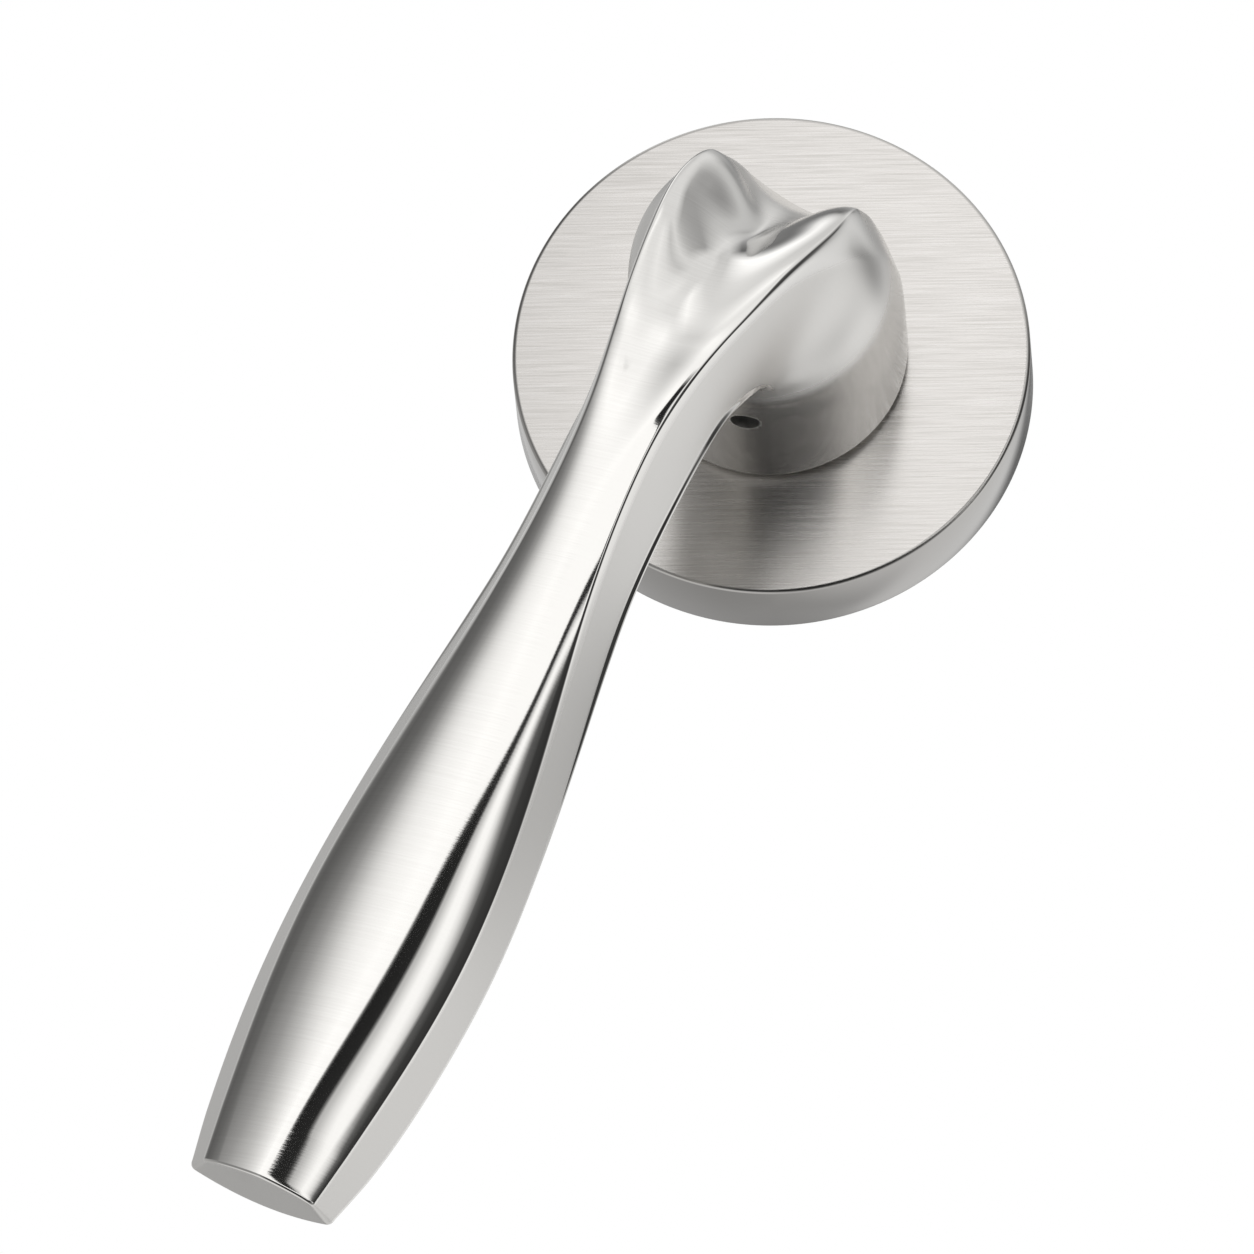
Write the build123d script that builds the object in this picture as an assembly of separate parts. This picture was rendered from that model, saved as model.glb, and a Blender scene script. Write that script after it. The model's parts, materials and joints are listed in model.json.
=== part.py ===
from build123d import *
from collections import namedtuple
import math
import numpy as np
import os

# Door lever handle on a round sprung rose, one side of a door.
# Worked in the bench frame: x away from the lever's tip, y up the door, z out of the door, with the
# origin on the door's face at the spindle's axis. The last step stands it up with +Z up and the
# door's face in the XZ plane, so that the lever points to -X and the rose looks along -Y.

# Rose
ROSE_DIAMETER = 52.0
ROSE_THICKNESS = 8.6
COVER_WALL = 1.0
COVER_EDGE = 0.35
COVER_ROOM = 0.25
INNER_GAP = 0.6

# Lever, sizes along the arm from the spindle's axis
NECK_DIAMETER = 27.5
NECK_GAP = 0.4
LEVER_REACH = 116.0
LEVER_SECTIONS = 34

# The bend turns about a line under the arm
BEND_X = 24.0
BEND_RISE = 20.0
RIDGE_ANGLE = 36.5
EDGE_ANGLE = 151.5

# Key sections of the arm from the tip to the bend: share of the reach, heights above the bend's line,
# half widths, tangent angles, and how far the front keeps its first direction
GripSection = namedtuple(
    "GripSection", "share back edge edge_half ridge ridge_half front cleft hold roll lean tuck heel"
)
GRIP = (
    GripSection(1.000, 12.4, 16.3, 7.70, 19.60, 5.90, 21.0, 0.0, 0.30, -26.0, 0.0, 0.0, -140.0),
    GripSection(0.922, 10.9, 16.4, 9.00, 19.55, 7.20, 21.5, 0.0, 0.32, -29.0, 0.0, 0.0, -132.0),
    GripSection(0.836, 9.6, 16.4, 10.00, 19.50, 8.20, 21.8, 0.0, 0.36, -31.0, 0.0, 0.0, -127.0),
    GripSection(0.741, 8.9, 16.4, 10.40, 19.70, 8.60, 22.1, 0.0, 0.42, -34.0, 0.0, 0.0, -125.0),
    GripSection(0.621, 9.0, 16.6, 9.90, 20.60, 7.70, 22.9, 0.0, 0.50, -40.0, 0.0, 0.0, -123.0),
    GripSection(0.500, 9.6, 17.1, 8.50, 22.60, 5.90, 24.4, 0.0, 0.52, -42.0, 0.0, 0.0, -120.0),
    GripSection(0.388, 10.4, 17.6, 6.95, 25.40, 4.30, 26.6, 0.0, 0.50, -36.0, 0.0, 0.0, -117.0),
    GripSection(0.284, 11.0, 17.7, 6.30, 27.90, 3.85, 28.4, 0.0, 0.50, -26.0, 3.0, 4.0, -117.0),
)
FRONT_ROLL = 0.36

# Key sections of the bend from the arm to the neck: turn about the bend's line, then how far each has
# left the neck's circle, and tangent angles; the cleft opens where the front leaves the middle steeply
BendSection = namedtuple(
    "BendSection", "turn back edge edge_half ridge ridge_half front cleft hold roll lean tuck heel"
)
BEND = (
    BendSection(90.0, 0.65, 4.68, -0.21, -6.60, -3.40, -9.45, 0.0, 0.45, -16.0, 3.0, 4.0, -121.0),
    BendSection(72.0, 0.15, 2.48, -0.21, -7.05, -1.80, -10.55, 0.0, 0.40, -12.0, 4.0, 6.0, -125.0),
    BendSection(54.0, -0.20, 0.88, -0.26, -6.25, -0.38, -11.45, 0.0, 0.34, -10.0, 8.0, 10.0, -131.0),
    BendSection(36.0, -0.35, 0.18, -0.26, -4.75, 0.62, -12.05, 6.0, 0.30, -10.0, 14.0, 20.0, -140.0),
    BendSection(22.0, -0.35, 0.08, -0.16, -3.10, 0.32, -11.35, 36.0, 0.34, -12.0, 36.0, 38.0, -147.0),
    BendSection(15.0, -0.30, 0.03, -0.11, -2.95, 0.12, -9.85, 14.0, 0.42, -14.0, 52.0, 48.0, -149.0),
    BendSection(7.0, -0.25, -0.02, -0.06, -2.40, 0.02, -7.65, 2.0, 0.55, -18.0, 60.0, 54.0, -150.0),
    BendSection(-6.0, -0.03, 0.00, -0.01, -0.65, 0.02, -4.35, 0.0, 0.50, -26.0, 60.0, 57.0, -151.0),
)
NECK_TILT = -20.0
NECK_DIPS = (0.9, 0.2, 0.0, 0.0, 0.0)

# Bearing and axial stack, heights from the door's face
JOURNAL_DIAMETER = 18.0
JOURNAL_RECESS = 0.2
KEY_RISE = 1.4
FLAT_RISE = 0.3
CORE_OVERLAP = 3.0
RUNNING_GAP = 0.05
SEAT_GAP = 0.05
BUSH_WALL = 1.45
BUSH_FLANGE = 0.6
BUSH_RIM = 1.7
CLIP_THICKNESS = 1.2
CLIP_OFFSET = 0.45
CLIP_DEPTH = 0.5
CLIP_WIDTH = 2.4
CLIP_MOUTH = 5.0
CLIP_EYE = 1.6
CLIP_EYE_HOLE = 0.75
WASHER_THICKNESS = 0.6
WASHER_RIM = 3.2
WASHER_FIT = 0.1
PLATE_THICKNESS = 0.8

# Spindle and its screw
SPINDLE_SIDE = 8.0
SPINDLE_FIT = 0.05
SPINDLE_INSIDE = 26.0
SPINDLE_BEHIND = 45.0
SPINDLE_CHAMFER = 0.8
SOCKET_ROOM = 0.5
GRUB_DIAMETER = 3.0
GRUB_LENGTH = 8.0
GRUB_HEIGHT = 23.0
GRUB_ANGLE = 16.0
GRUB_KEY = 1.5
GRUB_KEY_DEPTH = 2.0
GRUB_STANDOFF = 0.6
GRUB_CHAMFER = 0.5

# Back plate, housing and what fixes them
BACK_PLATE = 1.5
POCKET_ROOM = 1.2
HOUSING_FLOOR = 1.0
HUB_WALL = 1.7
HUB_FLANGE = 0.85
STEP_WALL = 1.2
HOUSING_WALL = 2.0
HOUSING_GAP = 0.7
RING_CORD = 1.6
RING_HEIGHT = 4.4
RING_ROOM = 0.2
POST_EDGE = 1.4
POST_DIAMETER = 7.0
POST_LENGTH = 8.0
POST_BORE = 3.3
POST_BORE_DEPTH = 8.0
POST_RIM = 0.5
POST_FLANGE_HEIGHT = 0.9
POST_ROOM = 0.1
SCREW_ANGLES = (30.0, 150.0, 270.0)
SCREW_EDGE = 0.6
SCREW_DIAMETER = 2.2
SCREW_HEAD = 4.2
SCREW_HEAD_HEIGHT = 1.0
SCREW_LENGTH = 4.6
SCREW_SLOT = 0.7
BOSS_DIAMETER = 4.4
BOSS_HEIGHT = 5.0

# Return spring, driver and stops
LEVER_TRAVEL = 40.0
ARM_ANGLE = 90.0
ARM_WIDTH = 5.0
ARM_EDGE = 0.9
TAB_THICKNESS = 1.2
TAB_GAP = 1.1
DRIVER_RIM = 2.6
LUG_ANGLE = 270.0
LUG_WIDTH = 6.0
LUG_EDGE = 0.8
STOP_DIAMETER = 2.0
PIN_EDGE = 0.2
WIRE = 1.2
SPRING_SIDE = 1.4
SPRING_TURNS = 1.45
SPRING_BEND = 1.5
LEG_EDGE = 0.4
SPRING_ROOM = 0.1
ANCHOR_DIAMETER = 1.8
ANCHOR_HEIGHT = 2.7

# Glide ring between neck and cover
GLIDE_FLANGE = 0.25
GLIDE_GAP = 0.15
GLIDE_WALL = 1.05
GLIDE_RIM = 1.2

# Worked out from the sizes above: heights, then radii from the bearing and in from the cover
NECK_RADIUS = NECK_DIAMETER / 2
NECK_BASE = ROSE_THICKNESS + NECK_GAP
BEND_HEIGHT = ROSE_THICKNESS + BEND_RISE
COVER_INSIDE = ROSE_THICKNESS - COVER_WALL
CLIP_BACK = JOURNAL_RECESS + CLIP_OFFSET
CLIP_FRONT = CLIP_BACK + CLIP_THICKNESS
WASHER_BACK = CLIP_FRONT + SEAT_GAP
HUB_BACK = WASHER_BACK + WASHER_THICKNESS + SEAT_GAP
PLATE_FRONT = COVER_INSIDE - COVER_ROOM
PLATE_BACK = PLATE_FRONT - PLATE_THICKNESS
FLANGE_FRONT = PLATE_BACK - SEAT_GAP
HUB_FRONT = FLANGE_FRONT - BUSH_FLANGE
FLOOR_FRONT = BACK_PLATE + HOUSING_FLOOR
HOUSING_FRONT = COVER_INSIDE - HOUSING_GAP
STOP_FRONT = PLATE_FRONT - SEAT_GAP
ANCHOR_FRONT = FLOOR_FRONT + ANCHOR_HEIGHT
TAB_BACK = FLOOR_FRONT + TAB_GAP
COIL_BACK = FLOOR_FRONT + SPRING_ROOM + WIRE / 2
COIL_FRONT = PLATE_BACK - SPRING_ROOM - WIRE / 2
SPRING_PITCH = (COIL_FRONT - COIL_BACK) / SPRING_TURNS

CLIP_BORE = JOURNAL_DIAMETER - 2 * CLIP_DEPTH
KEY_DIAMETER = JOURNAL_DIAMETER + 2 * KEY_RISE
KEY_FLATS = JOURNAL_DIAMETER + 2 * FLAT_RISE
DRIVER_DIAMETER = KEY_DIAMETER + 2 * DRIVER_RIM
BUSH_RADIUS = JOURNAL_DIAMETER / 2 + RUNNING_GAP + BUSH_WALL
HUB_RADIUS = BUSH_RADIUS + HUB_WALL
WASHER_DIAMETER = JOURNAL_DIAMETER + 2 * WASHER_RIM
POCKET_RADIUS = WASHER_DIAMETER / 2 + POCKET_ROOM
STEP_RADIUS = POCKET_RADIUS + STEP_WALL
SPRING_RADIUS = STEP_RADIUS + SPRING_SIDE + WIRE / 2
GLIDE_BORE = KEY_DIAMETER + 2 * GLIDE_GAP
COVER_BORE = GLIDE_BORE + 2 * GLIDE_WALL
GLIDE_DIAMETER = COVER_BORE + 2 * GLIDE_RIM
GRUB_START = SPINDLE_SIDE / 2 + GRUB_STANDOFF

COVER_RADIUS = ROSE_DIAMETER / 2 - COVER_WALL
INNER_RADIUS = COVER_RADIUS - INNER_GAP
CHANNEL_RADIUS = INNER_RADIUS - HOUSING_WALL
POST_FLANGE = POST_DIAMETER + 2 * POST_RIM
POST_OFFSET = INNER_RADIUS - POST_FLANGE / 2 - POST_EDGE
SCREW_RADIUS = INNER_RADIUS - SCREW_HEAD / 2 - SCREW_EDGE
STOP_RADIUS = CHANNEL_RADIUS - STOP_DIAMETER / 2 - PIN_EDGE
ANCHOR_RADIUS = CHANNEL_RADIUS - ANCHOR_DIAMETER / 2 - PIN_EDGE
ARM_REACH = CHANNEL_RADIUS - ARM_EDGE
LUG_REACH = CHANNEL_RADIUS - LUG_EDGE
LEG_REACH = CHANNEL_RADIUS - LEG_EDGE


def polar(radius, angle):
    """The point at a radius and an angle in degrees round the spindle's axis."""
    return radius * math.cos(math.radians(angle)), radius * math.sin(math.radians(angle))


def disc(diameter, low, high, at=(0, 0)):
    """A plain cylinder between two heights."""
    body = Cylinder(diameter / 2, high - low, align=(Align.CENTER, Align.CENTER, Align.MIN))
    return Pos(at[0], at[1], low) * body


def ring(inner, outer, low, high):
    """A plain ring between two heights."""
    return disc(outer, low, high) - disc(inner, low, high)


def slab(length, width, low, high, at=(0, 0)):
    """A block between two heights, centred in x and y."""
    body = Box(length, width, high - low, align=(Align.CENTER, Align.CENTER, Align.MIN))
    return Pos(at[0], at[1], low) * body


def arm(angle, width, reach, low, high):
    """A straight arm from the axis outwards at an angle."""
    body = Box(reach, width, high - low, align=(Align.MIN, Align.CENTER, Align.MIN))
    return Rot(0, 0, angle) * Pos(0, 0, low) * body


# A lever section lies in a plane through the bend's line: "out" is the distance from that line and
# "half" the distance from the mirror plane. The front runs from the middle to the ridge, the side
# from the ridge to the edge, and the back from the edge to the middle again.
Section = namedtuple(
    "Section",
    "x height turn stretch back edge edge_half ridge ridge_half front cleft hold roll lean tuck heel",
)


def neck_section(height, turn, dip):
    """The neck's circle, cut by a plane that leans by turn; its front dips in at the saddle."""
    ridge = polar(NECK_RADIUS, RIDGE_ANGLE)
    edge = polar(NECK_RADIUS, EDGE_ANGLE)
    lean = (EDGE_ANGLE - RIDGE_ANGLE) / 2
    stretch = 1 / math.cos(math.radians(turn))
    hold = 4 / 3 * math.tan(math.radians(RIDGE_ANGLE / 4)) * NECK_RADIUS / ridge[1]
    return Section(
        -BEND_X, height, turn, stretch, BEND_X - NECK_RADIUS, BEND_X + edge[0], edge[1], BEND_X + ridge[0],
        ridge[1], BEND_X + NECK_RADIUS - dip, 0.0, hold, -RIDGE_ANGLE, lean, lean, -EDGE_ANGLE,
    )


def bend_section(row):
    """A section of the bend, which has left the neck's circle by the row's amounts."""
    circle = neck_section(BEND_HEIGHT, 0, 0)
    return Section(
        -BEND_X, BEND_HEIGHT, row.turn, 1.0, circle.back + row.back, circle.edge + row.edge,
        circle.edge_half + row.edge_half, circle.ridge + row.ridge, circle.ridge_half + row.ridge_half,
        circle.front + row.front, row.cleft, row.hold, row.roll, row.lean, row.tuck, row.heel,
    )


def grip_section(row):
    """A section straight across the arm."""
    return Section(-row.share * LEVER_REACH, BEND_HEIGHT, 90.0, 1.0, *row[1:])


def place(section, half, out):
    """The point of a section at a half width and a distance out from the bend's line."""
    reach = out * section.stretch
    turn = math.radians(section.turn)
    return (section.x + reach * math.cos(turn), half, section.height + reach * math.sin(turn))


def key_sections():
    """The sections that the lever's form is drawn through, from the tip to the foot of the neck."""
    sections = [grip_section(row) for row in GRIP] + [bend_section(row) for row in BEND]
    for left, dip in zip(np.linspace(1, 0, len(NECK_DIPS)), NECK_DIPS):
        height = NECK_BASE + left * (BEND_HEIGHT - NECK_BASE)
        sections.append(neck_section(height, NECK_TILT * left, dip))
    return sections


def spline_rows(knots, rows, places):
    """Rows read off at new places along a natural cubic spline through the key rows."""
    gaps = np.diff(knots)
    inner = np.arange(1, len(knots) - 1)
    matrix = np.eye(len(knots))
    matrix[inner, inner - 1] = gaps[:-1]
    matrix[inner, inner] = 2 * (gaps[:-1] + gaps[1:])
    matrix[inner, inner + 1] = gaps[1:]
    slopes = np.diff(rows, axis=0) / gaps[:, None]
    bends = np.zeros_like(rows)
    bends[1:-1] = 6 * np.diff(slopes, axis=0)
    bends = np.linalg.solve(matrix, bends)
    first = np.clip(np.searchsorted(knots, places) - 1, 0, len(knots) - 2)
    gap = gaps[first][:, None]
    a = (knots[first + 1] - places)[:, None] / gap
    b = 1 - a
    bow = (a ** 3 - a) * bends[first] + (b ** 3 - b) * bends[first + 1]
    return a * rows[first] + b * rows[first + 1] + bow * gap ** 2 / 6


def smooth_sections():
    """Evenly spaced sections on the spline through the key sections."""
    keys = key_sections()
    lines = [
        (place(key, key.ridge_half, key.ridge), place(key, key.edge_half, key.edge), place(key, 0, key.back))
        for key in keys
    ]
    steps = np.diff(np.array(lines), axis=0)
    lengths = np.sqrt((steps ** 2).sum(axis=2).mean(axis=1))
    knots = np.concatenate([[0], np.cumsum(lengths)])
    rows = spline_rows(knots, np.array(keys), np.linspace(0, knots[-1], LEVER_SECTIONS))
    return [Section(*row) for row in rows.tolist()]


def tangent_curve(start, start_angle, end, end_angle, holds=None):
    """Four control points of a curve with given end tangents; equal bends give a circle's arc."""
    turn = math.radians(end_angle - start_angle)
    hold = 2 / 3 * math.dist(start, end) / (1 + math.cos(turn / 2))
    first, last = holds or (hold, hold)
    out = polar(first, start_angle)
    back = polar(last, end_angle)
    return [start, (start[0] + out[0], start[1] + out[1]), (end[0] - back[0], end[1] - back[1]), end]


def half_outline(section):
    """The front, side and back curves of one half of a section, as (half, out) points."""
    middle = (0.0, section.front)
    ridge = (section.ridge_half, section.ridge)
    edge = (section.edge_half, section.edge)
    heel = (0.0, section.back)
    chord = math.degrees(math.atan2(edge[1] - ridge[1], edge[0] - ridge[0]))
    holds = (section.hold * section.ridge_half, FRONT_ROLL * section.ridge_half)
    front = tangent_curve(middle, section.cleft, ridge, section.roll, holds)
    side = tangent_curve(ridge, chord + section.lean, edge, chord - section.tuck)
    back = tangent_curve(edge, section.heel, heel, -180)
    return [front, side, back]


def section_wire(section):
    """The closed outline of a section, mirrored about the lever's middle plane."""
    curves = half_outline(section)
    near = [Bezier(*[place(section, half, out) for half, out in curve]) for curve in curves]
    far = [Bezier(*[place(section, -half, out) for half, out in curve[::-1]]) for curve in curves[::-1]]
    return Wire(near + far)


def lever_form():
    """Arm, bend and neck as one loft from the tip to the foot of the neck."""
    return Solid.make_loft([section_wire(section) for section in smooth_sections()])


def key_form(clearance, low, high):
    """The journal's two-flat key."""
    return disc(KEY_DIAMETER + clearance, low, high) & slab(
        KEY_FLATS + clearance, 2 * KEY_DIAMETER, low, high
    )


def grub_place(reach):
    """A frame on the grub screw's axis, looking outwards, at a distance from the spindle's axis."""
    x, y = polar(reach, 180 + GRUB_ANGLE)
    direction = polar(1, 180 + GRUB_ANGLE)
    return Plane(origin=(x, y, GRUB_HEIGHT), z_dir=(direction[0], direction[1], 0))


def make_lever():
    socket_side = SPINDLE_SIDE + 2 * SPINDLE_FIT
    inside = NECK_BASE + CORE_OVERLAP
    body = lever_form()
    body = body + disc(KEY_DIAMETER, PLATE_FRONT + SEAT_GAP, inside)
    body = body + key_form(0, FLANGE_FRONT, inside)
    body = body + disc(JOURNAL_DIAMETER, JOURNAL_RECESS, inside)
    body = body - ring(CLIP_BORE, KEY_DIAMETER, CLIP_BACK, WASHER_BACK)
    body = body - slab(socket_side, socket_side, 0, SPINDLE_INSIDE + SOCKET_ROOM)
    bore = Cylinder(GRUB_DIAMETER / 2, NECK_DIAMETER, align=(Align.CENTER, Align.CENTER, Align.MIN))
    return body - grub_place(0) * bore


def make_spindle():
    bar = slab(SPINDLE_SIDE, SPINDLE_SIDE, -SPINDLE_BEHIND, SPINDLE_INSIDE)
    ends = bar.faces().sort_by(Axis.Z)
    return chamfer(ends[0].edges() + ends[-1].edges(), SPINDLE_CHAMFER)


def make_grub_screw():
    body = Cylinder(GRUB_DIAMETER / 2, GRUB_LENGTH, align=(Align.CENTER, Align.CENTER, Align.MIN))
    body = chamfer(body.edges().group_by(Axis.Z)[0], GRUB_CHAMFER)
    hexagon = RegularPolygon(GRUB_KEY / 2, 6, major_radius=False)
    key = extrude(hexagon, GRUB_KEY_DEPTH)
    body = body - Pos(0, 0, GRUB_LENGTH - GRUB_KEY_DEPTH) * key
    return grub_place(GRUB_START) * body


def make_drive_plate():
    plate = disc(DRIVER_DIAMETER, PLATE_BACK, PLATE_FRONT)
    plate = plate + arm(ARM_ANGLE, ARM_WIDTH, ARM_REACH, PLATE_BACK, PLATE_FRONT)
    plate = plate + arm(LUG_ANGLE, LUG_WIDTH, LUG_REACH, PLATE_BACK, PLATE_FRONT)
    tab = arm(ARM_ANGLE, ARM_WIDTH, ARM_REACH, TAB_BACK, PLATE_FRONT)
    tab = tab - disc(2 * (ARM_REACH - TAB_THICKNESS), TAB_BACK, PLATE_FRONT)
    return plate + tab - key_form(2 * SPINDLE_FIT, PLATE_BACK, PLATE_FRONT)


def make_circlip():
    body = ring(CLIP_BORE, CLIP_BORE + 2 * CLIP_WIDTH, CLIP_BACK, CLIP_FRONT)
    reach = CLIP_BORE / 2 + CLIP_WIDTH
    body = body - slab(CLIP_MOUTH, reach, CLIP_BACK, CLIP_FRONT, (0, -reach))
    side = CLIP_MOUTH / 2 + CLIP_EYE
    for x in (-side, side):
        eye = (x, -math.sqrt(reach ** 2 - side ** 2))
        body = body + disc(2 * CLIP_EYE, CLIP_BACK, CLIP_FRONT, eye)
        body = body - disc(2 * CLIP_EYE_HOLE, CLIP_BACK, CLIP_FRONT, eye)
    return body - disc(CLIP_BORE, CLIP_BACK, CLIP_FRONT)


def make_thrust_washer():
    inner = JOURNAL_DIAMETER + 2 * WASHER_FIT
    return ring(inner, WASHER_DIAMETER, WASHER_BACK, WASHER_BACK + WASHER_THICKNESS)


def make_rose_cover():
    cup = disc(ROSE_DIAMETER, 0, ROSE_THICKNESS)
    cup = fillet(cup.edges().group_by(Axis.Z)[-1], COVER_EDGE)
    cup = cup - disc(2 * COVER_RADIUS, 0, COVER_INSIDE)
    return cup - disc(COVER_BORE, COVER_INSIDE, ROSE_THICKNESS)


def make_glide_ring():
    barrel = ring(GLIDE_BORE, COVER_BORE, COVER_INSIDE, ROSE_THICKNESS)
    return barrel + ring(GLIDE_BORE, GLIDE_DIAMETER, ROSE_THICKNESS, ROSE_THICKNESS + GLIDE_FLANGE)


def make_back_plate():
    plate = ring(2 * POCKET_RADIUS, 2 * INNER_RADIUS, 0, BACK_PLATE)
    for side in (-1, 1):
        plate = plate - disc(POST_DIAMETER, 0, BACK_PLATE, (side * POST_OFFSET, 0))
    for angle in SCREW_ANGLES:
        plate = plate - screw_form(angle)
    return plate


def make_spring_housing():
    body = disc(2 * INNER_RADIUS, BACK_PLATE, HOUSING_FRONT)
    channel = disc(2 * CHANNEL_RADIUS, FLOOR_FRONT, HOUSING_FRONT)
    step = disc(2 * STEP_RADIUS, FLOOR_FRONT, HUB_BACK + HUB_FLANGE)
    hub = disc(2 * HUB_RADIUS, FLOOR_FRONT, HUB_FRONT)
    bosses = [disc(BOSS_DIAMETER, BACK_PLATE, BOSS_HEIGHT, polar(SCREW_RADIUS, a)) for a in SCREW_ANGLES]
    body = body - channel + step + hub + bosses
    body = body - disc(2 * POCKET_RADIUS, BACK_PLATE, HUB_BACK)
    body = body - disc(2 * BUSH_RADIUS, BACK_PLATE, HOUSING_FRONT)
    half_groove = (RING_CORD + RING_ROOM) / 2
    groove_floor = 2 * (COVER_RADIUS - RING_CORD)
    body = body - ring(groove_floor, ROSE_DIAMETER, RING_HEIGHT - half_groove, RING_HEIGHT + half_groove)
    for side in (-1, 1):
        room = POST_FLANGE + 2 * POST_ROOM
        body = body - disc(room, BACK_PLATE, FLOOR_FRONT, (side * POST_OFFSET, 0))
    for angle in SCREW_ANGLES:
        body = body - screw_form(angle)
    for angle in stop_angles():
        body = body - disc(STOP_DIAMETER, BACK_PLATE, FLOOR_FRONT, polar(STOP_RADIUS, angle))
    return body - disc(ANCHOR_DIAMETER, BACK_PLATE, FLOOR_FRONT, polar(ANCHOR_RADIUS, anchor_angle()))


def make_neck_bush():
    bore = JOURNAL_DIAMETER + 2 * RUNNING_GAP
    barrel = ring(bore, 2 * BUSH_RADIUS, HUB_BACK, HUB_FRONT)
    return barrel + ring(bore, 2 * (BUSH_RADIUS + BUSH_RIM), HUB_FRONT, FLANGE_FRONT)


def make_cover_ring():
    return Pos(0, 0, RING_HEIGHT) * Torus(COVER_RADIUS - RING_CORD / 2, RING_CORD / 2)


def make_bolt_post(side):
    at = (side * POST_OFFSET, 0)
    post = disc(POST_DIAMETER, -POST_LENGTH, BACK_PLATE, at)
    post = post + disc(POST_FLANGE, BACK_PLATE, BACK_PLATE + POST_FLANGE_HEIGHT, at)
    return post - disc(POST_BORE, -POST_LENGTH, -POST_LENGTH + POST_BORE_DEPTH, at)


def screw_form(angle):
    """A countersunk housing screw without its slot."""
    at = polar(SCREW_RADIUS, angle)
    head = Cone(
        SCREW_HEAD / 2, SCREW_DIAMETER / 2, SCREW_HEAD_HEIGHT, align=(Align.CENTER, Align.CENTER, Align.MIN)
    )
    return Pos(at[0], at[1], 0) * head + disc(SCREW_DIAMETER, 0, SCREW_LENGTH, at)


def make_housing_screw(angle):
    at = polar(SCREW_RADIUS, angle)
    slot_depth = SCREW_HEAD_HEIGHT / 2
    return screw_form(angle) - slab(SCREW_HEAD, SCREW_SLOT, 0, slot_depth, at)


def stop_angles():
    """Where the two stop pins meet the driver's lug at the ends of the lever's travel."""
    reach = LUG_WIDTH / 2 + STOP_DIAMETER / 2 + SEAT_GAP
    side = math.degrees(math.asin(reach / STOP_RADIUS))
    return LUG_ANGLE - side, LUG_ANGLE + LEVER_TRAVEL + side


def spring_angles():
    """The angles of the spring's fixed and moving legs."""
    side = (ARM_WIDTH + WIRE) / 2 + SPRING_ROOM
    moving = ARM_ANGLE + math.degrees(math.asin(side / (ARM_REACH - TAB_THICKNESS)))
    return moving - 360 * SPRING_TURNS, moving


def anchor_angle():
    """The anchor pin stands on the winding side of the spring's fixed leg."""
    side = (ANCHOR_DIAMETER + WIRE) / 2 + SPRING_ROOM
    return spring_angles()[0] + math.degrees(math.asin(side / ANCHOR_RADIUS))


def make_pin(diameter, radius, angle, high):
    return disc(diameter, BACK_PLATE, high, polar(radius, angle))


def leg_path(point, tangent, outward, sign):
    """A radial leg and the quarter bend that joins it to the coil's end."""
    centre = point + outward * SPRING_BEND
    corner = centre - tangent * (sign * SPRING_BEND)
    middle = centre - (outward + tangent * sign).normalized() * SPRING_BEND
    tip = corner + outward * (LEG_REACH - SPRING_RADIUS - SPRING_BEND)
    return Line(corner, tip), ThreePointArc(corner, middle, point)


def make_return_spring():
    coil = Helix(SPRING_PITCH, COIL_FRONT - COIL_BACK, SPRING_RADIUS)
    coil = Pos(0, 0, COIL_BACK) * Rot(0, 0, spring_angles()[0]) * coil
    runs = [coil]
    for place, sign in ((0, 1), (1, -1)):
        point = coil @ place
        outward = Vector(point.X, point.Y, 0).normalized()
        runs.extend(leg_path(point, coil % place, outward, sign))
    path = Wire.combine(runs)[0]
    start = Plane(origin=path @ 0, z_dir=path % 0)
    return sweep(start * Circle(WIRE / 2), path)


def export_all(nodes):
    os.makedirs("parts", exist_ok=True)
    for name, solid in nodes.items():
        stood = Rot(90, 0, 0) * solid
        export_step(stood, f"parts/{name}.step")
        print(name, len(stood.solids()), round(stood.volume, 1))


rest_stop, travel_stop = stop_angles()
parts = {
    "lever": make_lever(),
    "spindle": make_spindle(),
    "grub_screw": make_grub_screw(),
    "drive_plate": make_drive_plate(),
    "circlip": make_circlip(),
    "thrust_washer": make_thrust_washer(),
    "rose_cover": make_rose_cover(),
    "glide_ring": make_glide_ring(),
    "back_plate": make_back_plate(),
    "spring_housing": make_spring_housing(),
    "neck_bush": make_neck_bush(),
    "cover_ring": make_cover_ring(),
    "return_spring": make_return_spring(),
    "spring_anchor_pin": make_pin(ANCHOR_DIAMETER, ANCHOR_RADIUS, anchor_angle(), ANCHOR_FRONT),
    "rest_stop_pin": make_pin(STOP_DIAMETER, STOP_RADIUS, rest_stop, STOP_FRONT),
    "travel_stop_pin": make_pin(STOP_DIAMETER, STOP_RADIUS, travel_stop, STOP_FRONT),
    "bolt_post_left": make_bolt_post(-1),
    "bolt_post_right": make_bolt_post(1),
}
for number, angle in enumerate(SCREW_ANGLES, 1):
    parts[f"housing_screw_{number}"] = make_housing_screw(angle)
export_all(parts)
print("spring gap between turns", round(SPRING_PITCH - WIRE, 2))
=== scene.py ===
# %% [markdown]
# # Door lever handle
# A cast lever with two crisp ridges and a cleft shoulder turns on a round, line-brushed rose. Almost
# everything that the eye meets here is nickel, so the lesson is about smooth surfaces and about what
# they mirror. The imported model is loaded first: it fixes the places and sizes of all pieces.

# %% Frame and units
import json
import math

import bpy
import numpy as np
from mathutils import Matrix, Vector


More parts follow.
